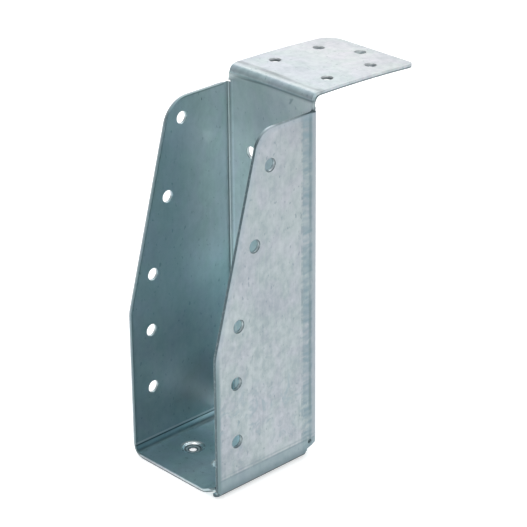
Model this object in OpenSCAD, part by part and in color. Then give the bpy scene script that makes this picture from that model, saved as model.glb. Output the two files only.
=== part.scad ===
// Joist hanger for a 46 mm joist, folded from one 1.5 mm galvanised sheet.
// The joist stands on the seat between the two side walls, and the lip on
// top hooks over the header. +Z is up, the header is on the +Y side.
// Origin: under the seat, on the rear face of the back plate, mid-width.

/* [Sheet] */
// Sheet thickness
sheet = 1.5; // [1:0.1:3]
// Clear width between the side walls, the joist's width
joist_w = 46; // [36:1:100]
// Clear height from the seat to the underside of the lip
joist_h = 146; // [100:1:250]
// Depth from the rear face of the back plate to the front edges
depth = 53; // [40:0.5:90]
// Inside radius of the folds at the back corners and at the lip
fold_r = 1.5; // [0.5:0.25:4]

/* [Side walls] */
// Height of the left wall's top edge
left_top = 142; // [120:0.5:146]
// Height of the right wall's top edge
right_top = 143; // [120:0.5:146]
// Height at which the left wall's front edge starts to lean back
left_knee = 61.5; // [40:0.5:90]
// Height at which the right wall's front edge starts to lean back
right_knee = 59.5; // [40:0.5:90]
// Lean of the upper front edges from the vertical, in degrees
lean = 15.4; // [5:0.1:30]
// Radius of the left wall's upper front corner
left_corner_r = 12; // [2:0.5:20]
// Radius of the right wall's upper front corner
right_corner_r = 9; // [2:0.5:20]
// Radius of the knees
knee_r = 12; // [2:1:40]
// Height of the bottom edge of the back plate and its corner folds
fold_bottom = 4.5; // [3:0.1:12]
// Step up in a wall's bottom edge behind the seat's rear edge
heel_step = 0.5; // [0.2:0.1:4]
// Radius of the small round reliefs punched where two folds meet
relief_r = 0.8; // [0.5:0.1:1.5]
// Distance of the lower reliefs from the rear face of the back plate
relief_y = 4.8; // [4:0.1:8]
// Height of the lower reliefs
relief_z = 6.6; // [5.5:0.1:10]
// Distance of the upper reliefs inside the lip's ends
lip_relief_in = 0.4; // [0:0.1:1]
// Height of the upper reliefs, beside the tops of the walls
lip_relief_z = 142.7; // [120:0.1:146]

/* [Seat] */
// Inside radius of the fold between the left wall and the seat
seat_fold_r = 3; // [1:0.25:6]
// Distance of the seat's rear edge from the rear face of the back plate
seat_rear = 6.1; // [4:0.1:12]
// Distance from the middle at which the seat starts to rise to the right
ramp_start = 14.5; // [8:0.5:18]
// Slope of the raised end of the seat, in degrees
ramp_slope = 27.3; // [15:0.1:35]
// Inside radius of the fold at the foot of the raised end
ramp_r = 5; // [2:0.5:10]
// Gap between the raised end and the right wall
ramp_gap = 0.35; // [0.1:0.05:1]
// Diameter of the seat's nail holes at their lower rim
seat_hole_d = 3.2; // [3:0.1:5]
// Diameter of those holes at the bottom of the dimple
seat_rim_d = 6; // [5.1:0.1:8]
// Diameter of the dimple pressed round them
dimple_d = 9; // [7:0.1:12]
// Depth of the dimple
dimple_depth = 0.6; // [0.2:0.05:1]
// Distance between the two seat holes
seat_hole_gap = 18; // [12:0.5:24]
// Sideways place of the middle of the two seat holes
seat_hole_x = -1.5; // [-6:0.5:6]
// Distance of the seat holes from the rear face of the back plate
seat_hole_y = 34.5; // [20:0.5:45]

/* [Flange under the seat] */
// Height of the right wall's bottom edge
flange_bottom = 1.4; // [0:0.1:3]
// Inside radius of its tight fold
flange_fold_r = 0.5; // [0.3:0.1:2]
// How far the flange still hangs below square, in degrees
flange_hang = 8; // [0:1:20]
// Straight length of the flange after its fold
flange_len = 1.3; // [0.5:0.1:4]

/* [Nail holes] */
// Diameter of the nail holes in the walls, back plate and lip
nail_d = 5; // [3:0.1:7]
// Distances of the wall holes from the rear face, from the top down
wall_hole_y = [25, 33, 41.4, 43, 43];
// Heights of the left wall's holes, from the top down
wall_hole_z = [133.8, 104.2, 74.6, 51.4, 26.9];
// How much lower the right wall's holes are, so that nails miss each other
stagger = 5.1; // [0:0.1:12]
// Distance between the two holes in the back plate
back_hole_gap = 21.2; // [15:0.1:30]
// Height of the holes in the back plate
back_hole_z = 116.5; // [80:0.5:135]

/* [Lip] */
// Width of the lip
lip_w = 45; // [40:0.5:46]
// Reach of the lip behind the rear face of the back plate
lip_reach = 53; // [40:0.5:80]
// Radius of the slight downward bow of the lip
lip_bow_r = 660; // [400:20:5000]
// Radius of the lip's rounded rear left corner
lip_corner_r = 7; // [1:0.5:15]
// Radius of the lip's rear right corner
lip_small_r = 3; // [0.5:0.1:5]
// Distance between the two holes of each row in the lip
lip_hole_gap = 27.6; // [20:0.1:35]
// Distances of the lip's hole rows from the rear face: front row, rear row
lip_row_y = [14.5, 37.7];
// Distance of the single rearmost hole from the rear face
lip_end_hole_y = 46.4; // [40:0.1:50]

/* [Hidden] */
$fn = 72;
over = 1;
out_w = joist_w + 2 * sheet;
fold_out = fold_r + sheet;
back_flat = out_w / 2 - fold_out;
top_z = sheet + joist_h + sheet;
bend_z = top_z - fold_out;
seat_fold_out = seat_fold_r + sheet;
flange_out = flange_fold_r + sheet;
zinc = [0.70, 0.74, 0.76];

module ring(r_in, r_out) {
  difference() {
    circle(r_out, $fn = 96);
    circle(r_in, $fn = 96);
  }
}

// Part of a ring about the origin, from angle a0 to angle a1
module sector(r_in, r_out, a0, a1) {
  reach = 2 * r_out;
  am = (a0 + a1) / 2;
  intersection() {
    ring(r_in, r_out);
    polygon([
      [0, 0],
      [reach * cos(a0), reach * sin(a0)],
      [reach * cos(am), reach * sin(am)],
      [reach * cos(a1), reach * sin(a1)]
    ]);
  }
}

// Outline of a side wall's flat part: x is the distance in front of the
// rear face, y is the height. The bottom edge is a straight line at bottom,
// and it steps up behind the seat.
module wall_outline(top, knee, corner_r, bottom) {
  t_lean = tan(lean);
  knee_t = knee_r * tan(lean / 2);
  top_x = depth - (top - knee) * t_lean;
  tip_t = corner_r * tan((90 - lean) / 2);
  difference() {
    polygon([
      [fold_out, fold_bottom],
      [seat_rear, bottom + heel_step],
      [seat_rear, bottom],
      [depth, bottom],
      [depth, knee],
      [top_x, top],
      [fold_out, top]
    ]);
    // upper front corner, rounded
    difference() {
      polygon([
        [top_x + over, top + over],
        [top_x - tip_t, top + over],
        [top_x - tip_t, top - corner_r],
        [top_x + tip_t * sin(lean), top - tip_t * cos(lean)],
        [top_x + tip_t * sin(lean) + over, top - tip_t * cos(lean)]
      ]);
      translate([top_x - tip_t, top - corner_r]) circle(corner_r, $fn = 96);
      polygon([
        [top_x - tip_t, top - corner_r],
        [top_x - tip_t - over, top - corner_r],
        [top_x - tip_t - over, top],
        [top_x - tip_t, top]
      ]);
    }
    // knee, slightly rounded
    difference() {
      polygon([
        [depth + over, knee - knee_t],
        [depth - knee_r, knee - knee_t],
        [depth - knee_t * sin(lean), knee + knee_t * cos(lean)],
        [depth + over, knee + knee_t]
      ]);
      translate([depth - knee_r, knee - knee_t]) circle(knee_r, $fn = 96);
    }
    // relief where the bottom fold meets the corner fold
    translate([relief_y, relief_z]) circle(relief_r, $fn = 48);
  }
}

// A wall's flat part, standing at its place: side is -1 left, 1 right
module wall(side, top, knee, corner_r, bottom, drop) {
  difference() {
    translate([side > 0 ? out_w / 2 - sheet : -out_w / 2, 0, 0])
      rotate([90, 0, 90]) linear_extrude(sheet)
        mirror([1, 0]) wall_outline(top, knee, corner_r, bottom);
    for (i = [0 : len(wall_hole_y) - 1])
      translate([side * out_w / 2, -wall_hole_y[i], wall_hole_z[i] - drop])
        rotate([0, 90, 0])
          cylinder(h = 4 * sheet, d = nail_d, center = true, $fn = 48);
  }
}

// Vertical fold between the back plate and a wall
module corner_fold(side, top) {
  translate([side * back_flat, -fold_out, fold_bottom])
    linear_extrude(top - fold_bottom)
      if (side > 0) sector(fold_r, fold_out, 0, 90);
      else sector(fold_r, fold_out, 90, 180);
}

// Back plate up to the lip's fold, with its two holes
module back_plate() {
  difference() {
    union() {
      translate([-back_flat, -sheet, fold_bottom])
        cube([2 * back_flat, sheet, bend_z - fold_bottom]);
      translate([-lip_w / 2, -sheet, left_top])
        cube([lip_w / 2, sheet, bend_z - left_top]);
      translate([0, -sheet, right_top])
        cube([lip_w / 2, sheet, bend_z - right_top]);
    }
    for (s = [-1, 1])
      translate([s * back_hole_gap / 2, 0, back_hole_z])
        rotate([90, 0, 0])
          cylinder(h = 4 * sheet, d = nail_d, center = true, $fn = 48);
  }
}

// Reliefs where the lip's fold ends beside the corner folds
module lip_reliefs() {
  for (s = [-1, 1])
    translate([s * (lip_w / 2 - lip_relief_in), over, lip_relief_z])
      rotate([90, 0, 0])
        cylinder(h = fold_out + over, r = relief_r, $fn = 48);
}

// Side view of the lip: its fold, then the slightly bowed leaf
module lip_profile() {
  sweep = (lip_reach + over) / lip_bow_r * 180 / PI;
  far = lip_bow_r / cos(sweep);
  translate([fold_r, bend_z]) sector(fold_r, fold_out, 90, 180);
  intersection() {
    translate([fold_r, top_z - lip_bow_r])
      difference() {
        circle(lip_bow_r, $fn = 360);
        circle(lip_bow_r - sheet, $fn = 360);
      }
    polygon([
      [fold_r, top_z - lip_bow_r],
      [fold_r, top_z + over],
      [fold_r + far * sin(sweep), top_z + over]
    ]);
  }
}

// Plan of the lip, with its two unequal rear corners
module lip_plan() {
  half = lip_w / 2;
  front = -fold_out;
  difference() {
    translate([-half, front]) square([lip_w, lip_reach - front]);
    difference() {
      translate([-half - over, lip_reach - lip_corner_r])
        square([lip_corner_r + over, lip_corner_r + 2 * over]);
      translate([-half + lip_corner_r, lip_reach - lip_corner_r])
        circle(lip_corner_r);
    }
    difference() {
      translate([half - lip_small_r, lip_reach - lip_small_r])
        square([lip_small_r + over, lip_small_r + 2 * over]);
      translate([half - lip_small_r, lip_reach - lip_small_r])
        circle(lip_small_r);
    }
  }
}

// Lip with its five nail holes
module lip() {
  difference() {
    intersection() {
      translate([-lip_w / 2, 0, 0]) rotate([90, 0, 90])
        linear_extrude(lip_w) lip_profile();
      translate([0, 0, top_z - 20]) linear_extrude(30) lip_plan();
    }
    for (s = [-1, 1], y = lip_row_y)
      translate([s * lip_hole_gap / 2, y, top_z - 15])
        cylinder(h = 30, d = nail_d, $fn = 48);
    translate([0, lip_end_hole_y, top_z - 15])
      cylinder(h = 30, d = nail_d, $fn = 48);
  }
}

// Front view of the seat: fold from the left wall, flat, raised end
module seat_profile() {
  end_x = out_w / 2 - sheet - ramp_gap;
  arc_out = ramp_r + sheet;
  c = cos(ramp_slope);
  run = (end_x - ramp_start - arc_out * sin(ramp_slope)) / c;
  translate([-out_w / 2 + seat_fold_out, seat_fold_out])
    sector(seat_fold_r, seat_fold_out, 180, 270);
  translate([-out_w / 2 + seat_fold_out, 0])
    square([ramp_start + out_w / 2 - seat_fold_out, sheet]);
  translate([ramp_start, arc_out]) {
    intersection() {
      ring(ramp_r, arc_out);
      translate([0, -2 * arc_out]) square(2 * arc_out);
      rotate(ramp_slope) translate([-2 * arc_out, -2 * arc_out])
        square(2 * arc_out);
    }
    rotate(ramp_slope) translate([0, -arc_out]) square([run, sheet]);
  }
}

// One dimpled nail hole in the seat
module seat_hole() {
  cone = sheet - dimple_depth;
  land = 0.4;
  translate([0, 0, -over])
    cylinder(h = over + land, d = seat_hole_d, $fn = 48);
  translate([0, 0, land])
    cylinder(h = cone - land, d1 = seat_hole_d, d2 = seat_rim_d, $fn = 48);
  translate([0, 0, cone])
    cylinder(h = dimple_depth, d1 = seat_rim_d, d2 = dimple_d, $fn = 48);
  translate([0, 0, sheet])
    cylinder(h = over, d = dimple_d, $fn = 48);
}

module seat() {
  difference() {
    translate([0, -seat_rear, 0]) rotate([90, 0, 0])
      linear_extrude(depth - seat_rear) seat_profile();
    for (s = [-1, 1])
      translate([seat_hole_x + s * seat_hole_gap / 2, -seat_hole_y, 0])
        seat_hole();
  }
}

// Short flange folded inward under the seat's raised end
module flange_profile() {
  translate([out_w / 2 - flange_out, flange_bottom + flange_out]) {
    intersection() {
      ring(flange_fold_r, flange_out);
      translate([-2 * flange_out, -2 * flange_out])
        square([4 * flange_out, 2 * flange_out]);
      rotate(flange_hang) translate([0, -2 * flange_out])
        square([2 * flange_out, 4 * flange_out]);
    }
    rotate(flange_hang) translate([-flange_len, -flange_out])
      square([flange_len, sheet]);
  }
}

module flange() {
  translate([0, -seat_rear, 0]) rotate([90, 0, 0])
    linear_extrude(depth - seat_rear) flange_profile();
}

module hanger() {
  color(zinc) difference() {
    union() {
      wall(-1, left_top, left_knee, left_corner_r, seat_fold_out, 0);
      wall(1, right_top, right_knee, right_corner_r,
           flange_bottom + flange_out, stagger);
      corner_fold(-1, left_top);
      corner_fold(1, right_top);
      back_plate();
      lip();
      seat();
      flange();
    }
    lip_reliefs();
  }
}

hanger();
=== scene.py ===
import math

import bpy
import numpy as np
from mathutils import Matrix, Vector
from mathutils.geometry import delaunay_2d_cdt


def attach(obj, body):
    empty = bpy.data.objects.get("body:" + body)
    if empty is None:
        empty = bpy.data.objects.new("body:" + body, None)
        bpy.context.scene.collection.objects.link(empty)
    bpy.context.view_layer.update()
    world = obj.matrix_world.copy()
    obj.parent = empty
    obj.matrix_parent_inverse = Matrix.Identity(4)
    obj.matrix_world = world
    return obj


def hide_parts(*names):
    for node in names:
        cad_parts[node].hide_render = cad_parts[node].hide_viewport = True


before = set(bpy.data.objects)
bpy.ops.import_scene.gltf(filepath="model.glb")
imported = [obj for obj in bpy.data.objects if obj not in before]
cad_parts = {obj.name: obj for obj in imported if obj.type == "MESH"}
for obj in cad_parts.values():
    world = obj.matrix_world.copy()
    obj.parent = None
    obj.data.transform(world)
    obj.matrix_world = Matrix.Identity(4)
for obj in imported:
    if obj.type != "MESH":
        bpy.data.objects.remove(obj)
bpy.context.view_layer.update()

# ---------------------------------------------------------------------------
# Viewpoint
# The hanger is seen from its front right, a little above, through a long
# lens, so that its upright edges stay almost parallel.
# ---------------------------------------------------------------------------
view_turn, view_tilt, view_roll = (math.radians(a) for a in (46.558, 25.227, -0.479))
eye_aside, eye_up, eye_back = -0.004572, 0.066175, 0.855989      # metres
behind = Vector((math.sin(view_turn) * math.cos(view_tilt),
                 -math.cos(view_turn) * math.cos(view_tilt), math.sin(view_tilt)))
across = Vector((math.cos(view_turn), math.sin(view_turn), 0))
upward = behind.cross(across)
level = across * math.cos(view_roll) + upward * math.sin(view_roll)
lift = upward * math.cos(view_roll) - across * math.sin(view_roll)
eye = level * eye_aside + lift * eye_up + behind * eye_back
lens = bpy.data.cameras.new("studio_camera")
lens.sensor_width = 36
lens.lens = 146.4477
lens.clip_start = 0.05
lens.clip_end = 50
camera = bpy.data.objects.new("studio_camera", lens)
camera.matrix_world = Matrix(((level.x, lift.x, behind.x, eye.x),
                              (level.y, lift.y, behind.y, eye.y),
                              (level.z, lift.z, behind.z, eye.z), (0, 0, 0, 1)))
bpy.context.scene.collection.objects.link(camera)
bpy.context.scene.camera = camera

# ---------------------------------------------------------------------------
# Back plate and side walls
# One strip of 1.5 mm galvanised sheet, folded to a U at the two back corners.
# It is laid out flat here, with its punched nail holes, and then folded.
# Flat layout in millimetres: u runs round the U from left front to right
# front, z is height.
# ---------------------------------------------------------------------------
sheet, fold_r = 1.5, 1.5              # thickness, and the folds' inner radius
joist_w, joist_h, depth = 46.0, 146.0, 53.0
left_top, right_top = 142.0, 143.0    # the walls' tops
left_knee, right_knee = 61.5, 59.5    # where their front edges start to lean
lean = math.radians(15.4)
left_corner_r, right_corner_r, knee_r = 12.0, 9.0, 12.0
left_bottom, right_bottom = 4.5, 2.75
left_heel, right_heel = 5.0, 3.6      # the bottoms' steps at the rear end
seat_rear = 6.1                       # where seat and flange end at the rear
blank_r = 0.35                        # corners of the blank
lip_half = 22.5                       # half the lip's width
bite_r = 0.55                         # reliefs beside the lip
bite_in, bite_up = 0.25, 0.35         # and how far in and up the left one lies
half = sheet / 2
out_x = joist_w / 2 + sheet
fold_mid = fold_r + half              # the folds' radius at mid-thickness
fold_len = fold_mid * math.pi / 2
fold_start = joist_w / 2 - fold_r     # where the back plate's flat part ends
fold_depth = sheet + fold_r           # and where a wall's flat part starts
wall_start = fold_start + fold_len
bend_z = joist_h                      # where the plate starts to bend to the lip
fine, coarse = 0.36, 1.25             # spacing of the points in folds and flats


def run(p, q, step):
    """Points from p up to q, q left out."""
    n = max(1, round(math.dist(p, q) / step))
    return [(p[0] + (q[0] - p[0]) * i / n, p[1] + (q[1] - p[1]) * i / n) for i in range(n)]


def on_circle(centre, radius, angle):
    """The point at an angle in degrees."""
    a = math.radians(angle)
    return centre[0] + radius * math.cos(a), centre[1] + radius * math.sin(a)


def bow(centre, radius, a0, a1, step=0.45):
    """Points on an arc from angle a0 up to a1, in degrees, a1 left out."""
    n = max(2, round(abs(math.radians(a1 - a0)) * radius / step))
    return [on_circle(centre, radius, a0 + (a1 - a0) * i / n) for i in range(n)]


def front_edge(top, knee, corner_r, bottom):
    """A wall's edge from its lower front corner up and back along its top."""
    turned = math.degrees(lean)
    top_y = depth - (top - knee) * math.tan(lean)
    knee_c = (depth - knee_r, knee - knee_r * math.tan(lean / 2))
    tip_c = (top_y - corner_r * math.tan((math.pi / 2 - lean) / 2), top - corner_r)
    return (bow((depth - blank_r, bottom + blank_r), blank_r, -90, 0, 0.15)
            + run((depth, bottom + blank_r), (depth, knee_c[1]), coarse)
            + bow(knee_c, knee_r, 0, turned)
            + run(on_circle(knee_c, knee_r, turned), on_circle(tip_c, corner_r, turned), coarse)
            + bow(tip_c, corner_r, turned, 90)
            + run((tip_c[0], top), (fold_depth, top), coarse))


def flat_u(y):
    """Distance round the U of a point y in front of the back plate's rear face."""
    return wall_start + y - fold_depth


# the reliefs beside the lip, from the wall's top round to the lip's strip
left_bite = bow((lip_half - bite_in, left_top + bite_up), bite_r,
                -math.degrees(math.asin(bite_up / bite_r)),
                math.degrees(math.acos(bite_in / bite_r)) - 360, 0.14)
left_bite += [(lip_half, left_top + bite_up + math.sqrt(bite_r ** 2 - bite_in ** 2))]
right_bite = bow((lip_half + bite_r, right_top), bite_r, 0, -180, 0.14)
right_bite += [(lip_half, right_top)]


def strip_outline():
    """The flat strip's outline, from its lower left corner round by the right."""
    heel, front = flat_u(seat_rear), flat_u(depth - blank_r)
    left = [(-flat_u(y), z) for y, z in front_edge(left_top, left_knee, left_corner_r, left_bottom)]
    right = [(flat_u(y), z) for y, z in front_edge(right_top, right_knee, right_corner_r, right_bottom)]
    line = run((-front, left_bottom), (-heel, left_bottom), coarse)
    line += run((-heel, left_bottom), (-heel, left_heel), 0.25)
    line += run((-heel, left_heel), (-wall_start, left_bottom), fine)
    line += run((-wall_start, left_bottom), (-fold_start, left_bottom), fine)
    line += run((-fold_start, left_bottom), (fold_start, left_bottom), coarse)
    line += run((fold_start, left_bottom), (wall_start, left_bottom), fine)
    line += run((wall_start, left_bottom), (heel, right_heel), fine)
    line += run((heel, right_heel), (heel, right_bottom), 0.25)
    line += run((heel, right_bottom), (front, right_bottom), coarse)
    line += right
    line += run((wall_start, right_top), right_bite[0], fine)
    line += right_bite[:-1]
    line += run(right_bite[-1], (lip_half, bend_z), 0.4)
    line += run((lip_half, bend_z), (-lip_half, bend_z), coarse)
    line += run((-lip_half, bend_z), (-lip_half, left_bite[-1][1]), 0.4)
    line += [(-u, z) for u, z in reversed(left_bite)]
    line += run((-left_bite[0][0], left_top), (-wall_start, left_top), fine)[1:]
    line += left[:0:-1]
    return line


def steps(*stops):
    """Positions from stop to stop: (start, end, spacing), ..."""
    out = []
    for a, b, s in stops:
        n = max(1, round(abs(b - a) / s))
        out += [a + (b - a) * i / n for i in range(n)]
    return np.array(out + [stops[-1][1]])


def lay_out(outline, holes, us, vs):
    """Triangles that fill an outline round its holes, as (points, triangles).
    A hole has its centre, its radius and the widths of the rings of points round it."""
    rim = np.array(outline)
    grid = np.stack(np.meshgrid(us, vs, indexing="ij"), -1).reshape(-1, 2)
    a, b = rim, np.roll(rim, -1, axis=0)
    x, y = grid[:, :1], grid[:, 1:]
    crossing = (a[:, 1] > y) != (b[:, 1] > y)
    with np.errstate(divide="ignore", invalid="ignore"):
        at = a[:, 0] + (y - a[:, 1]) * (b[:, 0] - a[:, 0]) / (b[:, 1] - a[:, 1])
    within = (crossing & (x < at)).sum(1) % 2 == 1
    along = b - a
    share = ((grid[:, None] - a) * along).sum(2) / (along ** 2).sum(1)
    near = a + along * np.clip(share, 0, 1)[..., None]
    gap = np.sqrt(((grid[:, None] - near) ** 2).sum(2)).min(1)
    # grid points too near an edge or a hole are left out
    keep = within & (gap > 0.62)
    points = list(map(tuple, rim))
    edges = [(i, (i + 1) % len(rim)) for i in range(len(rim))]
    for centre, r, rings in holes:
        around = 44 if r > 1 else 26
        first = len(points)
        points += [on_circle(centre, r, 360 * k / around) for k in range(around)]
        edges += [(first + k, first + (k + 1) % around) for k in range(around)]
        for j, more in enumerate(rings):
            turned = 0.5 * ((j + 1) % 2)
            points += [on_circle(centre, r + more, 360 * (k + turned) / around)
                       for k in range(around)]
        keep &= np.hypot(*(grid - centre).T) > r + rings[-1] + 0.5
    points += list(map(tuple, grid[keep]))
    found = delaunay_2d_cdt([Vector(p) for p in points], edges, [], 1, 1e-5)
    flat = np.array([tuple(p) for p in found[0]])
    cells = np.array([f for f in found[2] if len(f) == 3])
    for centre, r, rings in holes:
        cells = cells[np.hypot(*(flat[cells].mean(1) - centre).T) > r * 0.999]
    return flat, cells


def fold_to_u(uz):
    """The flat strip's points in their folded place, at mid-thickness."""
    u, z = uz[:, 0], uz[:, 1]
    side, s = np.sign(u), np.abs(u)
    turn = np.clip((s - fold_start) / fold_mid, 0, math.pi / 2)
    past = np.maximum(s - wall_start, 0)
    x = np.minimum(s, fold_start) + fold_mid * np.sin(turn)
    y = -half - fold_mid * (1 - np.cos(turn)) - past
    # above the walls the plate is flat, and the folds run out over 1.6 mm
    rise = np.clip((z - np.where(u > 0, right_top, left_top)) / 1.6, 0, 1)
    rise = rise * rise * (3 - 2 * rise)
    x = x + rise * (np.minimum(s, lip_half + 1) - x)
    y = y + rise * (-half - y)
    return np.stack([side * x, y, z], 1)


nail_r, nail_rings = 2.5, (0.3, 0.75, 1.5)
wall_y = (25.0, 33.0, 41.4, 43.0, 43.0)
wall_z = (133.8, 104.2, 74.6, 51.4, 26.9)
stagger = 5.1                         # how much lower the right wall's holes are
plate_hole_x, plate_hole_z = 10.6, 116.5
relief_y, relief_z, relief_r = 4.8, 6.6, 0.8
strip_holes = [((-flat_u(y), z), nail_r, nail_rings) for y, z in zip(wall_y, wall_z)]
strip_holes += [((flat_u(y), z - stagger), nail_r, nail_rings) for y, z in zip(wall_y, wall_z)]
strip_holes += [((side * plate_hole_x, plate_hole_z), nail_r, nail_rings) for side in (-1, 1)]
strip_holes += [((side * flat_u(relief_y), relief_z), relief_r, (0.25, 0.6)) for side in (-1, 1)]
strip_u = steps((-flat_u(depth), -wall_start, coarse), (-wall_start, -fold_start, fine),
                (-fold_start, fold_start, coarse), (fold_start, wall_start, fine),
                (wall_start, flat_u(depth), coarse))
strip_z = steps((right_bottom, bend_z + 1, coarse))
# each panel: flat points, triangles, folding, and 1 or -1 as the folding turns
# the sheet's upper side in the layout to the outside or the inside
panels = [(*lay_out(strip_outline(), strip_holes, strip_u, strip_z), fold_to_u, -1)]

# ---------------------------------------------------------------------------
# Lip
# The back plate's top end, folded backwards to hook over the header, with
# five nail holes. It bows down slightly towards its far edge.
# Flat layout: x runs across, w is the length from the start of the fold.
# ---------------------------------------------------------------------------
lip_reach = 53.0
top_z = bend_z + 2 * sheet
bow_r = 660 - half
lip_left_r, lip_right_r = 7, 3        # corners
lip_nail_r = 2.35
lip_hole_x, lip_hole_y, end_hole_y = 13.8, (14.5, 37.7), 46.4


def lip_w(y):
    """Length along the lip of a point y behind the back plate's rear face."""
    return fold_len + bow_r * math.asin((y - fold_r) / bow_r)


def fold_to_lip(xw):
    """The flat lip's points in their folded place, at mid-thickness."""
    x, w = xw[:, 0], xw[:, 1]
    turn = np.clip(w / fold_mid, 0, math.pi / 2)
    past = np.maximum(w - fold_len, 0) / bow_r
    y = fold_r - fold_mid * np.cos(turn) + bow_r * np.sin(past)
    z = bend_z + fold_mid * np.sin(turn) - bow_r * (1 - np.cos(past))
    return np.stack([x, y, z], 1)


far = lip_w(lip_reach)
lip_outline = run((-lip_half, 0), (lip_half, 0), coarse)
lip_outline += run((lip_half, 0), (lip_half, fold_len), fine)
lip_outline += run((lip_half, fold_len), (lip_half, far - lip_right_r), coarse)
lip_outline += bow((lip_half - lip_right_r, far - lip_right_r), lip_right_r, 0, 90, 0.35)
lip_outline += run((lip_half - lip_right_r, far), (-lip_half + lip_left_r, far), coarse)
lip_outline += bow((-lip_half + lip_left_r, far - lip_left_r), lip_left_r, 90, 180)
lip_outline += run((-lip_half, far - lip_left_r), (-lip_half, fold_len), coarse)
lip_outline += run((-lip_half, fold_len), (-lip_half, 0), fine)
lip_holes = [((side * lip_hole_x, lip_w(y)), lip_nail_r, nail_rings)
             for side in (-1, 1) for y in lip_hole_y]
lip_holes.append(((0.0, lip_w(end_hole_y)), lip_nail_r, nail_rings))
lip_x = steps((-lip_half, lip_half, coarse))
lip_ws = steps((0, fold_len, fine), (fold_len, far, coarse))
panels.append((*lay_out(lip_outline, lip_holes, lip_x, lip_ws), fold_to_lip, -1))

# ---------------------------------------------------------------------------
# Seat
# The left wall's lower end, folded inwards to carry the joist. Its right end
# rises over the right wall's flange, where the two lap. The two nail holes
# are pressed down into round dimples.
# Flat layout: y runs to the rear, s is the length from the left wall.
# ---------------------------------------------------------------------------
seat_fold_r = 3.0
ramp_x, ramp_r, ramp_tilt = 14.5, 5.0, math.radians(27.3)
lap_gap = 0.35                        # between the seat's end and the right wall
seat_tip_r = 0.5
seat_hole_x, seat_hole_y, seat_hole_r = (-10.5, 7.5), 34.5, 1.45
dimple_rings = (0.3, 0.6, 0.95, 1.25, 1.4, 1.52, 1.6, 1.75, 2.0, 2.3, 2.6, 2.85, 3.15, 3.45)
seat_mid = seat_fold_r + half
seat_z = seat_fold_r + sheet
seat_len = seat_mid * math.pi / 2
flat_len = ramp_x + out_x - seat_z
ramp_at = seat_len + flat_len
ramp_mid = ramp_r + half
ramp_len = ramp_mid * ramp_tilt
ramp_run = ((joist_w / 2 - lap_gap - ramp_x - (ramp_r + sheet) * math.sin(ramp_tilt))
            / math.cos(ramp_tilt))
seat_end = ramp_at + ramp_len + ramp_run


def fold_to_seat(ys):
    """The flat seat's points in their folded place, at mid-thickness."""
    y, s = ys[:, 0], ys[:, 1]
    turn = np.clip(s / seat_mid, 0, math.pi / 2)
    past = np.clip(s - seat_len, 0, flat_len)
    ramp = np.clip((s - ramp_at) / ramp_mid, 0, ramp_tilt)
    rest = np.maximum(s - ramp_at - ramp_len, 0)
    x = (-out_x + seat_z - seat_mid * np.cos(turn) + past + ramp_mid * np.sin(ramp)
         + rest * math.cos(ramp_tilt))
    z = (seat_z - seat_mid * np.sin(turn) + ramp_mid * (1 - np.cos(ramp))
         + rest * math.sin(ramp_tilt))
    return np.stack([x, y, z], 1)


def pressed(spots):
    """How far the seat's upper face is pressed down round its nail holes."""
    profile = ((1.45, 1.10), (1.75, 1.08), (2.4, 1.0), (2.85, 0.92), (3.05, 0.82), (3.2, 0.77),
               (4.2, 0.08), (4.5, 0.02), (4.8, 0.0))
    drop = np.zeros(len(spots))
    for hole_x in seat_hole_x:
        r = np.hypot(spots[:, 0] - hole_x, spots[:, 1] + seat_hole_y)
        drop = np.where((spots[:, 2] < 1.6) & (r < 6), np.interp(r, *zip(*profile)), drop)
    return drop


seat_outline = run((-seat_rear, 0), (-seat_rear, seat_len), fine)
seat_outline += run((-seat_rear, seat_len), (-seat_rear, ramp_at), coarse)
seat_outline += run((-seat_rear, ramp_at), (-seat_rear, seat_end - seat_tip_r), 0.5)
seat_outline += bow((-seat_rear - seat_tip_r, seat_end - seat_tip_r), seat_tip_r, 0, 90, 0.2)
seat_outline += run((-seat_rear - seat_tip_r, seat_end), (-depth + seat_tip_r, seat_end), coarse)
seat_outline += bow((-depth + seat_tip_r, seat_end - seat_tip_r), seat_tip_r, 90, 180, 0.2)
seat_outline += run((-depth, seat_end - seat_tip_r), (-depth, ramp_at), 0.5)
seat_outline += run((-depth, ramp_at), (-depth, seat_len), coarse)
seat_outline += run((-depth, seat_len), (-depth, blank_r), fine)
seat_outline += bow((-depth + blank_r, blank_r), blank_r, 180, 270, 0.15)
seat_outline += run((-depth + blank_r, 0), (-seat_rear, 0), coarse)
seat_holes = [((-seat_hole_y, seat_len + hole_x + out_x - seat_z), seat_hole_r, dimple_rings)
              for hole_x in seat_hole_x]
seat_y = steps((-depth, -seat_rear, coarse))
seat_s = steps((0, seat_len, fine), (seat_len, ramp_at, coarse),
               (ramp_at, ramp_at + ramp_len, 0.45), (ramp_at + ramp_len, seat_end, 1.1))
panels.append((*lay_out(seat_outline, seat_holes, seat_y, seat_s), fold_to_seat, 1))

# ---------------------------------------------------------------------------
# Flange
# A narrow strip of the right wall's bottom, folded tightly inwards under the
# seat's raised end, which rests over it.
# Flat layout: y runs to the rear, s is the length from the right wall.
# ---------------------------------------------------------------------------
flange_r, flange_flat = 0.5, 1.3
flange_turn = math.radians(82)
flange_mid = flange_r + half
flange_len = flange_mid * flange_turn
flange_end = flange_len + flange_flat


def fold_to_flange(ys):
    """The flat flange's points in their folded place, at mid-thickness."""
    y, s = ys[:, 0], ys[:, 1]
    turn = np.clip(s / flange_mid, 0, flange_turn)
    past = np.maximum(s - flange_len, 0)
    x = out_x - sheet - flange_r + flange_mid * np.cos(turn) - past * math.sin(flange_turn)
    z = right_bottom - flange_mid * np.sin(turn) - past * math.cos(flange_turn)
    return np.stack([x, y, z], 1)


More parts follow.
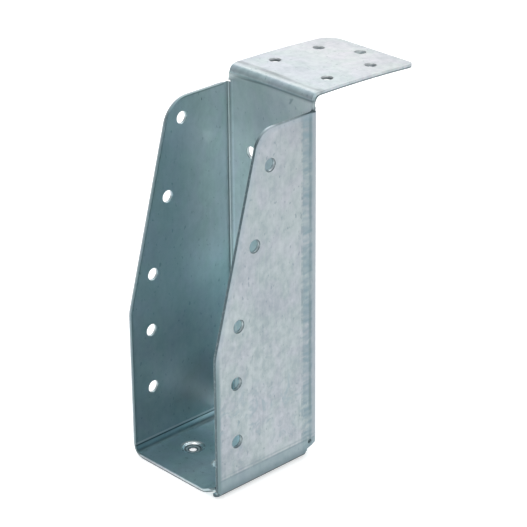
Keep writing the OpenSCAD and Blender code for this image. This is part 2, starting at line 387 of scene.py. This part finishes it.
flange_outline = run((-seat_rear, 0), (-seat_rear, flange_end), 0.3)
flange_outline += run((-seat_rear, flange_end), (-depth, flange_end), coarse)
flange_outline += run((-depth, flange_end), (-depth, blank_r), 0.3)
flange_outline += bow((-depth + blank_r, blank_r), blank_r, 180, 270, 0.15)
flange_outline += run((-depth + blank_r, 0), (-seat_rear, 0), coarse)
flange_s = steps((0, flange_len, 0.25), (flange_len, flange_end, flange_flat / 2))
panels.append((*lay_out(flange_outline, [], seat_y, flange_s), fold_to_flange, -1))

# ---------------------------------------------------------------------------
# The folded sheet
# The panels are one sheet, so they are joined along their shared lines and
# given their thickness. Sheared edges are rolled round on the die's side,
# which is outside the U and under the lip, and sharp on the other.
# ---------------------------------------------------------------------------
mm = 0.001                            # the frame's unit is the metre


def slope(where, flat):
    """Unit normals of a folding at flat points, from small steps either way."""
    e = 0.02
    du = where(flat + (e, 0)) - where(flat - (e, 0))
    dv = where(flat + (0, e)) - where(flat - (0, e))
    n = np.cross(du, dv)
    return n / np.linalg.norm(n, axis=1, keepdims=True)


def outer_face(where, outside):
    """The folding of the sheet's outer face, half its thickness out."""
    return lambda flat: where(flat) + slope(where, flat) * (outside * half)


def inner_face(where, outside):
    """The folding of the sheet's inner face, with the dimples pressed into it."""
    def at(flat):
        mid = where(flat)
        return mid - slope(where, flat) * (outside * (half - pressed(mid)))[:, None]
    return at


# the panels' points, once each: at mid-thickness, on the outer and the inner
# face, and the normals there
mids, outs, ins, norms, norms_out, norms_in = [], [], [], [], [], []
triangles, index_of = [], {}
for flat, cells, where, outside in panels:
    mid = where(flat)
    out_at, in_at = outer_face(where, outside), inner_face(where, outside)
    columns = (mid, out_at(flat), in_at(flat), slope(where, flat) * outside,
               slope(out_at, flat) * outside, slope(in_at, flat) * -outside)
    index = []
    for i in range(len(mid)):
        corner = tuple(np.round(mid[i], 3) + 0.0)
        if corner not in index_of:
            index_of[corner] = len(mids)
            for kept, column in zip((mids, outs, ins, norms, norms_out, norms_in), columns):
                kept.append(column[i])
        index.append(index_of[corner])
    cells = np.array(index)[cells if outside > 0 else cells[:, ::-1]]
    triangles += [t for t in cells.tolist() if len(set(t)) == 3]

# the rim, where a triangle has no neighbour: which way is out of the sheet, and
# how strongly the sheet is folded there
pairs = {}
for a, b, c in triangles:
    for pair in ((a, b), (b, c), (c, a)):
        pairs[pair] = True
rims = [pair for pair in pairs if (pair[1], pair[0]) not in pairs]
away, curl = {}, {}
for a, b in rims:
    along = mids[b] - mids[a]
    bend = np.dot(norms[b] - norms[a], along) / np.dot(along, along)
    for i in (a, b):
        o = np.cross(along, norms[i])
        away.setdefault(i, []).append(o / np.linalg.norm(o))
        curl[i] = curl.get(i, 0) + bend / 2

# the sheared edge from the outside face to the inside face: how far it is set
# back, how far down the thickness it is, and its slope (away, along normal)
sheared = [(0.22, 0.0, 0.0, 1.0), (0.12, 0.03, 0.42, 0.91), (0.05, 0.08, 0.74, 0.67),
           (0.01, 0.15, 0.95, 0.30), (0.0, 0.22, 1.0, 0.03), (0.0, 0.64, 1.0, 0.0),
           (0.02, 0.97, 0.98, -0.18), (0.05, 1.0, 0.7, -0.7)]
last = len(sheared) - 1
count = len(mids)
points = [*outs, *ins]
rows, row_normals = {}, {}
for i, ways in away.items():
    # out between the rim's two pieces here, but not too far at a sharp corner
    m = sum(ways)
    m = m / np.linalg.norm(m)
    m = m / max(0.6, float(np.dot(m, ways[0])))
    thick = np.linalg.norm(outs[i] - ins[i])
    rows[i], row_normals[i] = [], []
    for k, (back, down, out, up) in enumerate(sheared):
        # in a fold the stretched outer side draws back and the inner swells out
        draw = 1.2 * curl[i] * (0.5 - down) * thick
        p = outs[i] - m * (back + draw) - norms[i] * (down * thick)
        if k == 0:
            rows[i].append(i)
            points[i] = p
        elif k == last:
            rows[i].append(count + i)
            points[count + i] = p
        else:
            rows[i].append(len(points))
            points.append(p)
        v = m * out + norms[i] * up
        row_normals[i].append(v / np.linalg.norm(v))

# the outline is the rim's longest loop, and the short ones go round the holes
follow = dict(rims)
round_hole = {}
for start in follow:
    loop = [start]
    while start not in round_hole and follow[loop[-1]] != start:
        loop.append(follow[loop[-1]])
    for i in loop:
        round_hole.setdefault(i, len(loop) < 60)

faces, corner_normals = [], []
# "shear" tells the finish where a sheared edge is: how far down the thickness a
# corner is, plus 2 in a hole; -1 on the faces
shear = []
for a, b, c in triangles:
    faces.append((a, b, c))
    corner_normals += [norms_out[a], norms_out[b], norms_out[c]]
    faces.append((count + c, count + b, count + a))
    corner_normals += [norms_in[c], norms_in[b], norms_in[a]]
    shear += [-1.0] * 6
for a, b in rims:
    base = 2.0 if round_hole[a] else 0.0
    for k in range(last):
        faces.append((rows[b][k], rows[a][k], rows[a][k + 1], rows[b][k + 1]))
        corner_normals += [row_normals[b][k], row_normals[a][k],
                           row_normals[a][k + 1], row_normals[b][k + 1]]
        upper, lower = base + sheared[k][1], base + sheared[k + 1][1]
        shear += [upper, upper, lower, lower]
points = np.clip(points, (-out_x, -depth, 0.0), (out_x, lip_reach, top_z))
shape = bpy.data.meshes.new("hanger_sheet")
shape.from_pydata((points * mm).tolist(), [], faces)
shape.polygons.foreach_set("use_smooth", [True] * len(faces))
shape.update()
shape.normals_split_custom_set([tuple(v) for v in corner_normals])
shape.attributes.new("shear", "FLOAT", "CORNER").data.foreach_set("value", shear)
hanger = bpy.data.objects.new("hanger_sheet", shape)
bpy.context.scene.collection.objects.link(hanger)

# ---------------------------------------------------------------------------
# Zinc finish
# Hot-dip galvanised strip steel: a dull grey metal skin with a faint blue
# cast, cloudy where the zinc set, with fine lines along the rolling direction
# and rubbed marks where the folding tools pressed on it.
# ---------------------------------------------------------------------------
zinc = bpy.data.materials.new("zinc_sheet")
zinc.use_nodes = True
tree = zinc.node_tree
metal = tree.nodes["Principled BSDF"]
metal.inputs["IOR"].default_value = 1.5


def put(kind, **settings):
    """Adds a node to the node tree in hand."""
    node = tree.nodes.new(kind)
    for name, value in settings.items():
        setattr(node, name, value)
    return node


def feed(node, name, value):
    """Gives a socket a value, or the output of another node."""
    socket = node.inputs[name]
    if isinstance(value, bpy.types.NodeSocket):
        tree.links.new(value, socket)
    elif socket.type == "RGBA":
        socket.default_value = (*value, 1)
    else:
        socket.default_value = value


def maths(kind, a, b=0.0, c=0.0, clamp=False):
    node = put("ShaderNodeMath", operation=kind, use_clamp=clamp)
    for i, value in enumerate((a, b, c)):
        feed(node, i, value)
    return node.outputs[0]


def add(*values):
    out = values[0]
    for value in values[1:]:
        out = maths("ADD", out, value)
    return out


def less(a, b):
    return maths("SUBTRACT", a, b)


def larger(a, b):
    return maths("MAXIMUM", a, b)


def scaled(value, factor, offset=0.0):
    return maths("MULTIPLY_ADD", value, factor, offset)


def fade(value, start, end, low=0.0, high=1.0):
    """Smooth change from low at start to high at end."""
    node = put("ShaderNodeMapRange", interpolation_type="SMOOTHSTEP")
    for i, v in enumerate((value, start, end, low, high)):
        feed(node, i, v)
    return node.outputs[0]


def both(*masks):
    """The masks multiplied: where all of them are 1."""
    out = masks[0]
    for mask in masks[1:]:
        out = maths("MULTIPLY", out, mask)
    return out


def stripe(value, middle, width):
    """A soft line where value is near middle."""
    return fade(maths("ABSOLUTE", less(value, middle)), width, width * 0.25)


def clouds(scale, detail=3.0, grain=0.55, stretch=(1, 1, 1), shift=(0, 0, 0), warp=0.0):
    """A noise from 0 to 1 that is fixed to the sheet."""
    place = put("ShaderNodeMapping")
    feed(place, "Vector", spot)
    feed(place, "Scale", stretch)
    feed(place, "Location", shift)
    node = put("ShaderNodeTexNoise")
    feed(node, "Vector", place.outputs[0])
    feed(node, "Scale", scale)
    feed(node, "Detail", detail)
    feed(node, "Roughness", grain)
    feed(node, "Distortion", warp)
    return node.outputs[0]


def blend(share, a, b, kind="MIX"):
    node = put("ShaderNodeMix", data_type="RGBA", blend_type=kind)
    feed(node, 0, share)
    feed(node, 6, a)
    feed(node, 7, b)
    return node.outputs[2]


def painted(mask, share, paint):
    """The colour so far, with a share of paint laid over it where mask is 1."""
    return blend(both(mask, share), colour, paint)


def tinted(mask, tint):
    """The colour so far, multiplied by a tint where mask is 1."""
    return blend(mask, colour, tint, "MULTIPLY")


def toned(mask, change):
    """The colour so far, made lighter (change above 0) or darker where mask is 1."""
    node = put("ShaderNodeVectorMath", operation="SCALE")
    feed(node, 0, colour)
    feed(node, "Scale", scaled(mask, change, 1.0))
    return node.outputs[0]


def distance(a, b):
    node = put("ShaderNodeVectorMath", operation="DISTANCE")
    feed(node, 0, a)
    feed(node, 1, b)
    return node.outputs["Value"]


# the place on the hanger, in metres and in millimetres
spot = put("ShaderNodeTexCoord").outputs["Object"]
in_mm = put("ShaderNodeVectorMath", operation="SCALE")
feed(in_mm, 0, spot)
feed(in_mm, "Scale", 1 / mm)
apart = put("ShaderNodeSeparateXYZ")
feed(apart, 0, in_mm.outputs[0])
x, y, z = apart.outputs
wide = maths("ABSOLUTE", x)

# parts of the surface
on_lip = fade(z, bend_z + 0.2, bend_z + 1.6)
on_seat = both(fade(z, 5.2, 4.0), fade(x, 23.2, 22.8))
on_right = fade(x, 0, 1)
outer_wall = both(fade(wide, 23.72, 23.92), fade(z, bend_z + 0.2, bend_z - 0.4))
outer_right = both(outer_wall, on_right)
in_u = both(fade(wide, 23.9, 23.5), fade(y, -0.6, -1.0), fade(z, bend_z + 0.8, bend_z + 0.2))
inside = both(in_u, fade(z, 0.8, 1.2))
left_inside = both(inside, fade(x, -21.8, -22.2))
plate_inside = both(inside, fade(y, -2.0, -1.7))

# fine lines along the rolling direction: up the walls, back along the lip,
# across the seat
lines_up = clouds(900, 2.0, 0.6, (1, 1, 0.012))
lines_back = clouds(900, 2.0, 0.6, (1, 0.012, 1))
lines_across = clouds(900, 2.0, 0.6, (0.012, 1, 1))
lines = blend(on_lip, blend(on_seat, lines_up, lines_across), lines_back)
broad_up = clouds(150, 2.0, 0.5, (1, 1, 0.03), (0.3, 0.1, 0))
broad_back = clouds(150, 2.0, 0.5, (1, 0.05, 1), (0.1, 0.2, 0))
broad = blend(on_lip, broad_up, broad_back)

# clouds of several sizes, from the zinc's bloom down to dark specks
bloom = clouds(70, 4.0, 0.6, (1, 1, 0.7), (0.02, 0.4, 0.1), 0.4)
cloud = clouds(22, 3.0, 0.5, (1, 1, 0.8), (1.3, 0.2, 0.7), 0.6)
mottle = clouds(330, 4.0, 0.62, (1, 1, 0.8), (0.5, 0.9, 0.2), 0.2)
blots = clouds(190, 3.0, 0.55, (1, 1, 0.8), (0.15, 0.7, 0.45), 0.8)
specks = clouds(700, 2.0, 0.5, (1, 1, 0.6), (0.9, 0.1, 0.4))
cast = clouds(110, 2.0, 0.5, (1, 1, 0.7), (0.4, 0.3, 0.9), 0.5)
tone = scaled(add(bloom, cloud), 0.50)
for pattern, strength in ((mottle, 0.80), (blots, 0.36), (lines, 0.24), (broad, 0.20)):
    tone = add(tone, scaled(pattern, strength, -strength / 2))
# inside the U, where the folding block rubbed, on the lip and high up the walls
# it is more even
even = larger(scaled(in_u, 0.62), scaled(on_lip, 0.35))
even = larger(even, fade(z, 50, 100, 0.05, 0.28))
tone = maths("MULTIPLY_ADD", even, less(0.5, tone), tone)
dull_zinc, pale_zinc = (0.345, 0.395, 0.42), (0.52, 0.555, 0.58)
colour = blend(fade(tone, 0.24, 0.72), dull_zinc, pale_zinc)
colour = painted(fade(specks, 0.64, 0.74), 0.5, (0.18, 0.24, 0.265))
# the zinc's cast wanders between a greenish and a lavender grey
colour = tinted(1.0, blend(fade(cast, 0.36, 0.64), (0.978, 1.007, 0.988), (1.014, 0.986, 1.018)))

# a dark line of painted shade stands for a small slanting dent near the top of the back plate
dent_shade = both(fade(y, -2.0, -1.7), fade(y, -0.6, -1.0), stripe(scaled(x, 1.5, less(126.4, z)), 0.0, 1.1),
            fade(z, 141.4, 142.4), fade(z, 144.9, 143.9))
colour = painted(dent_shade, 0.6, (0.16, 0.22, 0.24))

# sheared edges have a bright burnished zone and a dark torn one, which is on
# the inner side of the walls and on the lower side of the seat and the lip
sheared_at = put("ShaderNodeAttribute", attribute_name="shear").outputs["Fac"]
on_edge = fade(sheared_at, -0.6, -0.4)
in_hole = fade(sheared_at, 1.4, 1.6)
down = less(sheared_at, scaled(in_hole, 2.0))
above_walls = both(fade(z, 142.5, 142.9), fade(wide, 22.9, 22.7))
level_part = larger(larger(on_lip, fade(z, 3.4, 2.8)), above_walls)
torn = blend(level_part, fade(down, 0.30, 0.50), fade(down, 0.50, 0.30))
# the right wall's front and top edges are torn nearly all the way, with a glint
# at the rounded corner, and the left wall's are torn only a little
right_front = both(fade(x, 22.6, 22.9), fade(z, 3.0, 4.0), fade(level_part, 0.6, 0.4))
torn = blend(right_front, torn, both(fade(down, 0.06, 0.16), fade(down, 1.02, 0.90)))
corner_glint = both(right_front, fade(z, 138.5, 141.5), fade(y, -20.0, -23.5))
torn = both(torn, scaled(corner_glint, -0.8, 1.0))
left_front = both(fade(x, -22.6, -22.9), fade(level_part, 0.6, 0.4))
torn = both(torn, scaled(left_front, -0.7, 1.0))
# the flange's edges are torn right through
on_flange = both(fade(x, 20.5, 20.9), fade(z, 2.6, 2.2))
torn = larger(both(torn, fade(sheared_at, 1.6, 1.4)), on_flange)
ragged = clouds(900, 2.0, 0.6, (1, 1, 1), (0.6, 0.2, 0.8))
torn = both(torn, fade(ragged, 0.25, 0.55, 0.72, 1.0))
# in the holes only the two ends are dark
torn_hole = both(in_hole, larger(fade(down, 0.26, 0.12), fade(down, 0.72, 0.95)),
                 fade(ragged, 0.30, 0.55, 0.45, 0.9))

# the inside of the U is painted duller and bluer as shade, the left wall most; from mid height up
# towards the rear of the left wall a paler, warmer patch is a painted reflection of the back plate, and
# lower down the left wall is painted darker as shade
colour = tinted(inside, (0.85, 0.975, 0.985))
colour = tinted(left_inside, (0.80, 0.92, 0.96))
plate_reflection = both(left_inside, fade(y, -34, -12), fade(z, 50, 85))
colour = toned(plate_reflection, 0.30)
colour = tinted(plate_reflection, (1.06, 0.93, 0.87))
colour = toned(both(left_inside, fade(z, 72, 34), fade(z, 4, 16, 0.6, 1.0)), -0.34)


def round_patch(at_y, at_z, radius):
    """A soft round patch on the side walls."""
    from_side = put("ShaderNodeCombineXYZ")
    feed(from_side, "Y", y)
    feed(from_side, "Z", z)
    return fade(distance(from_side.outputs[0], (0.0, at_y, at_z)), radius, radius * 0.25)


# painted shade low on the left wall, and a faint lighter patch at mid height
colour = toned(both(left_inside, round_patch(-20.0, 18.8, 20.0)), -0.36)
colour = toned(both(left_inside, round_patch(-16.5, 72.0, 14.0)), 0.10)
# painted light and shade: the back plate is darker at its top, paler downwards and towards its left;
# the seat is paler towards the rear and the right, and bluer where it is darker
plate_lighting = add(fade(z, 146, 100, 0.77, 1.18), fade(z, 100, 30, 0.0, 0.60))
colour = toned(plate_inside, less(plate_lighting, 1.0))
colour = tinted(plate_inside, (1.07, 1.01, 0.99))
colour = toned(both(plate_inside, fade(x, -4, -19)), 0.16)
seat_lighting = add(fade(y, -30, -15, 1.0, 1.75), fade(x, -18, 6, 0.0, 0.50))
colour = toned(on_seat, less(seat_lighting, 1.0))
seat_shade_tint = blend(fade(seat_lighting, 1.1, 1.8), (0.80, 0.94, 0.97), (0.90, 0.91, 0.90))
colour = tinted(both(on_seat, fade(sheared_at, -0.4, -0.6)), seat_shade_tint)
colour = tinted(both(on_seat, on_edge), (0.93, 0.86, 0.85))
# the right wall is a little darker, most of all towards its top rear corner
colour = toned(both(outer_right, fade(z, 85, 135), fade(y, -30, -6)), -0.10)
colour = toned(outer_right, -0.12)
# behind the lip's fold lies a streaky, darker grey strip, and the far end of the lip is brighter
streaks = clouds(420, 3.0, 0.6, (0.16, 1, 1), (0.4, 0.8, 0.1), 0.3)
strip_end = scaled(streaks, 3.6, 2.4)
streaky_strip = both(on_lip, fade(y, 1.2, 3.2), fade(less(y, strip_end), 0.6, -1.0),
                  fade(streaks, 0.28, 0.62, 0.45, 1.0))
colour = toned(streaky_strip, -0.40)
colour = tinted(both(on_lip, fade(y, 10, 42)), (1.14, 1.08, 1.06))

# creases that the folding block pressed along the inside of the folds: where the
# seat starts, up the left back corner, and where the plate bends to the lip
against_left = both(inside, fade(x, -22.3, -22.7))
seat_crease = both(against_left, stripe(z, 4.3, 0.4))
seat_gleam = both(against_left, stripe(z, 5.1, 0.6))
seat_fold_shade = both(inside, fade(x, -20.1, -21.6), fade(z, 3.4, 2.1))
back_corner = both(inside, fade(x, -20.0, -20.5), fade(z, 4, 8), fade(z, 144.0, 142.5))
round_corner = add(x, y, out_x)       # 0 in the middle of the left back corner's fold
side_crease = both(back_corner, stripe(round_corner, -0.2, 0.6))
corner_gleam_shade = both(back_corner, stripe(round_corner, 0.8, 0.8))
edge_crease = both(back_corner, stripe(round_corner, 1.5, 0.25))
side_highlight = both(back_corner, stripe(round_corner, 2.8, 0.9))
bend_line = add(z, fade(x, 0.0, -18))
under_bend = both(fade(y, 0.2, -0.2), fade(wide, 22.6, 22.4), fade(x, -20.5, -12))
bend_crease = both(under_bend, stripe(bend_line, bend_z, 0.5))
bend_shade = both(fade(y, 0.4, -1.0), stripe(z, bend_z + 0.5, 1.9))
on_bend = both(fade(y, 0.8, 0.0), fade(z, bend_z - 0.4, bend_z + 0.2))
# the creases' dark lines are painted shade, and the light strips beside the seat's crease and the back
# corner's fold are painted highlights; the seat's fold, the lamp's gleam in the left back corner's fold
# and the bend to the lip are painted darker as shade
colour = painted(seat_crease, 0.92, (0.04, 0.07, 0.08))
colour = painted(side_crease, 0.86, (0.08, 0.12, 0.13))
colour = painted(edge_crease, 0.40, (0.12, 0.17, 0.18))
colour = painted(bend_crease, 0.55, (0.12, 0.17, 0.19))
colour = painted(seat_gleam, 0.55, (0.62, 0.70, 0.74))
colour = tinted(corner_gleam_shade, (0.38, 0.41, 0.42))
colour = toned(side_highlight, 0.16)
colour = tinted(seat_fold_shade, (0.34, 0.36, 0.36))
colour = toned(both(seat_fold_shade, fade(y, -34, -16)), -0.45)
colour = toned(bend_shade, -0.22)
colour = toned(both(bend_shade, fade(x, 4, 18)), -0.16)
colour = tinted(both(on_bend, 0.9), (0.86, 0.97, 1.0))

# the dimples round the seat's nail holes are smoother on the slope and carry a painted highlight there,
# most of all at the rear left; at their steps lie dark rings of painted shade and a lighter ring of
# painted highlight
near_seat = fade(z, 2.2, 1.8)
burnished = 0.0
for hole_x, left_shine in zip(seat_hole_x, (0.20, 0.95)):
    off = distance(in_mm.outputs[0], (hole_x, -seat_hole_y, 1.0))
    to_right, to_rear = less(x, hole_x), add(y, seat_hole_y)
    rear_left = scaled(to_right, -0.8, scaled(to_rear, 0.6))
    leftwards = scaled(to_right, -0.93, scaled(to_rear, -0.36))
    dimple = both(near_seat, fade(off, 3.1, 3.4), fade(off, 5.3, 4.6))
    burnished = add(burnished, dimple)
    colour = painted(dimple, fade(rear_left, 1.6, 3.3), (0.99, 1.0, 1.0))
    colour = painted(both(dimple, fade(leftwards, 2.0, 4.0)), left_shine, (0.90, 0.95, 0.96))
    colour = painted(both(near_seat, stripe(off, 3.1, 0.4)), 0.9, (0.035, 0.06, 0.07))
    colour = painted(both(near_seat, stripe(off, 2.5, 0.5)), 0.65, (0.62, 0.66, 0.68))
    colour = painted(both(near_seat, stripe(off, 1.9, 0.3)), 0.8, (0.05, 0.08, 0.09))

# rubbed band of tool marks beside the folds at the back corners
teeth = clouds(300, 2.0, 0.65, (0.1, 0.30, 1), (0.2, 0.1, 0.6), 0.5)
ridges = put("ShaderNodeTexWave", wave_type="BANDS", bands_direction="Z", wave_profile="SIN")
feed(ridges, "Vector", spot)
feed(ridges, "Scale", 92.0)
feed(ridges, "Distortion", 6.0)
feed(ridges, "Detail", 2.0)
feed(ridges, "Detail Scale", 1.6)
ridge = ridges.outputs["Fac"]
band_edge = scaled(teeth, 2.2, -9.7)
band = both(outer_wall, fade(less(y, band_edge), -0.2, 0.4), fade(y, -3.0, -3.8))
marks = maths("ADD", fade(teeth, 0.36, 0.62, 0.10, 0.62), scaled(ridge, 0.34), clamp=True)
grime = clouds(260, 3.0, 0.6, (1, 1, 0.5), (0.7, 0.3, 0.2), 0.6)
colour = painted(band, marks, (0.215, 0.295, 0.33))
colour = painted(both(outer_wall, fade(y, -4.2, -3.4)), 0.62, (0.30, 0.345, 0.38))
colour = painted(both(outer_wall, stripe(y, -4.7, 1.1)), fade(grime, 0.30, 0.58, 0.25, 0.75),
                 (0.15, 0.215, 0.24))
colour = painted(both(outer_wall, stripe(y, -8.8, 0.9)), fade(teeth, 0.42, 0.62, 0.0, 0.6),
                 (0.17, 0.235, 0.26))

# band along the bottom of the right wall, where the flange's fold was pressed; towards the bottom edge
# the wall is painted darker as shade, and the rounded bottom edge is a matte near-black line of painted
# shadow
foot = both(outer_right, fade(z, 8.6, 7.0))
foot_line = both(outer_right, larger(stripe(z, 7.8, 0.6), both(stripe(z, 9.2, 0.6), 0.55)))
bottom_shadow = both(fade(x, 21.5, 22.5), fade(z, 2.2, 1.7))
colour = painted(foot, 0.66, (0.22, 0.30, 0.33))
colour = painted(both(outer_right, fade(z, 5.8, 2.4)), 0.60, (0.13, 0.185, 0.205))
colour = painted(foot_line, fade(grime, 0.25, 0.60, 0.25, 0.60), (0.17, 0.235, 0.26))
colour = painted(bottom_shadow, 1.0, (0.02, 0.03, 0.035))
feed(metal, "Metallic", scaled(bottom_shadow, -0.70, 0.70))
feed(metal, "Specular IOR Level", scaled(bottom_shadow, -0.45, 0.5))

# smudges low on the outside of the walls
smudge = clouds(150, 4.0, 0.6, (1, 1, 1), (0.31, 0.52, 0.83), 1.2)
low_down = both(outer_wall, fade(z, 52, 35), fade(z, 8, 14))
colour = painted(low_down, fade(smudge, 0.50, 0.64, 0, 0.6), (0.27, 0.34, 0.375))


def from_edge(knee):
    """How far a point on a wall is from the wall's front, leaning and top edge."""
    to_front = add(y, depth)
    to_lean = less(scaled(to_front, math.cos(lean)), scaled(less(z, knee), math.sin(lean)))
    to_top = less(scaled(fade(x, -1, 1), right_top - left_top, left_top), z)
    return to_front, maths("SMOOTH_MIN", maths("MINIMUM", to_front, to_lean), to_top, 9.0)


# along the walls' front and top edges the shears left a duller strip outside,
# and inside a dark line on the left wall
to_front, right_rim = from_edge(right_knee)
left_rim = from_edge(left_knee)[1]
colour = painted(both(left_inside, fade(y, -3.0, -4.0), fade(left_rim, 0.9, 0.4)), 0.5,
                 (0.10, 0.15, 0.16))
colour = painted(both(outer_wall, fade(right_rim, 2.6, 1.0)), 0.30, (0.30, 0.37, 0.43))
upright = both(outer_right, fade(z, 66, 50), fade(to_front, 2.6, 0.6))
colour = painted(upright, 0.85, (0.16, 0.235, 0.245))
colour = painted(both(outer_wall, fade(right_rim, 0.5, 0.2)), 0.35, (0.20, 0.26, 0.29))

# torn metal is dark, also inside the nail holes; the walls of the lip's holes are painted light in
# their upper part and dark as shade below
edge_colour = blend(torn, colour, (0.085, 0.125, 0.14))
edge_colour = blend(torn_hole, edge_colour, (0.07, 0.10, 0.11))
lip_hole_shading = blend(fade(down, 0.45, 0.75), (0.16, 0.18, 0.19), (0.50, 0.52, 0.53))
edge_colour = blend(both(in_hole, on_lip), edge_colour, lip_hole_shading)
colour = blend(on_edge, colour, edge_colour)
feed(metal, "Base Color", colour)

rough = scaled(bloom, 0.16, 0.34)
for pattern, strength in ((lines, 0.10), (blots, 0.16)):
    rough = add(rough, scaled(pattern, strength, -strength / 2))
for mask, change in ((band, 0.10), (inside, -0.08), (burnished, -0.12)):
    rough = add(rough, scaled(mask, change))
feed(metal, "Roughness", rough)

height = 0.0
for pattern, strength in ((lines, 0.25), (mottle, 1.1), (bloom, 2.2), (blots, 1.2),
                          (both(band, teeth), 2.5), (both(band, ridge), 0.9), (foot_line, -0.8),
                          (seat_crease, -1.4), (side_crease, -1.4), (bend_crease, -1.4)):
    height = add(height, scaled(pattern, strength))
bump = put("ShaderNodeBump")
feed(bump, "Strength", 0.5)
feed(bump, "Distance", 0.06 * mm)
feed(bump, "Height", height)
feed(metal, "Normal", bump.outputs[0])

shape.materials.append(zinc)
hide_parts("hanger")
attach(hanger, "root")

# ---------------------------------------------------------------------------
# Floor and light
# A wide white table in a bright room, a large soft lamp high behind on the
# left, a small one overhead, a weak one on the right and one in front on the
# right, which lights the inside of the U. They aren't part of the hanger.
# ---------------------------------------------------------------------------
table = bpy.data.meshes.new("floor")
table.from_pydata([(-9, -9, 0), (9, -9, 0), (9, 9, 0), (-9, 9, 0)], [], [(0, 1, 2, 3)])
floor = bpy.data.objects.new("floor", table)
bpy.context.scene.collection.objects.link(floor)
paper = bpy.data.materials.new("white_paper")
paper.use_nodes = True
tree = paper.node_tree
tree.nodes.remove(tree.nodes["Principled BSDF"])
matt = put("ShaderNodeBsdfDiffuse")
feed(matt, "Color", (0.80, 0.80, 0.80))
ray = put("ShaderNodeLightPath")
seen = larger(ray.outputs["Is Camera Ray"], ray.outputs["Is Transmission Ray"])
seen = larger(seen, ray.outputs["Is Glossy Ray"])
shine = put("ShaderNodeEmission")
feed(shine, "Strength", scaled(seen, 0.48))
lit_paper = put("ShaderNodeAddShader")
feed(lit_paper, 0, matt.outputs[0])
feed(lit_paper, 1, shine.outputs[0])
feed(tree.nodes["Material Output"], "Surface", lit_paper.outputs[0])
table.materials.append(paper)

world = bpy.data.worlds.new("studio")
bpy.context.scene.world = world
world.use_nodes = True
tree = world.node_tree
sky = tree.nodes["Background"]
heading = put("ShaderNodeTexCoord").outputs["Generated"]


def towards(direction):
    facing = put("ShaderNodeVectorMath", operation="DOT_PRODUCT")
    feed(facing, 0, heading)
    feed(facing, 1, direction)
    return facing.outputs["Value"]


rear_glow = fade(towards((0.50, 0.83, 0.25)), -0.9, 0.9, 0.15, 0.84)
left_glow = fade(towards((-0.66, -0.43, 0.62)), 0.45, 0.95, 0.0, 0.34)
feed(sky, "Color", (0.93, 0.98, 1.0))
feed(sky, "Strength", add(rear_glow, left_glow))

lamps = (("soft_top", (-0.9, 0.8, 1.1), (1.2, 1.2), 7.6, (1.0, 0.97, 0.94)),
         ("soft_above", (0.15, -0.55, 1.3), (0.5, 0.5), 3.0, (0.97, 1.0, 1.0)),
         ("soft_right", (1.3, 0.5, 0.5), (0.9, 0.9), 2.0, (1.0, 0.98, 0.97)),
         ("soft_front", (0.70, -1.30, 0.42), (0.8, 0.5), 11, (0.99, 1.0, 0.97)))
for name, at, size, power, tint in lamps:
    light = bpy.data.lights.new(name, "AREA")
    light.shape = "RECTANGLE"
    light.size, light.size_y = size
    light.energy = power
    light.color = tint
    lamp = bpy.data.objects.new(name, light)
    lamp.location = at
    lamp.rotation_euler = (Vector((0, 0, 0.07)) - Vector(at)).to_track_quat("-Z", "Y").to_euler()
    bpy.context.scene.collection.objects.link(lamp)
bpy.context.scene.view_settings.view_transform = "Standard"
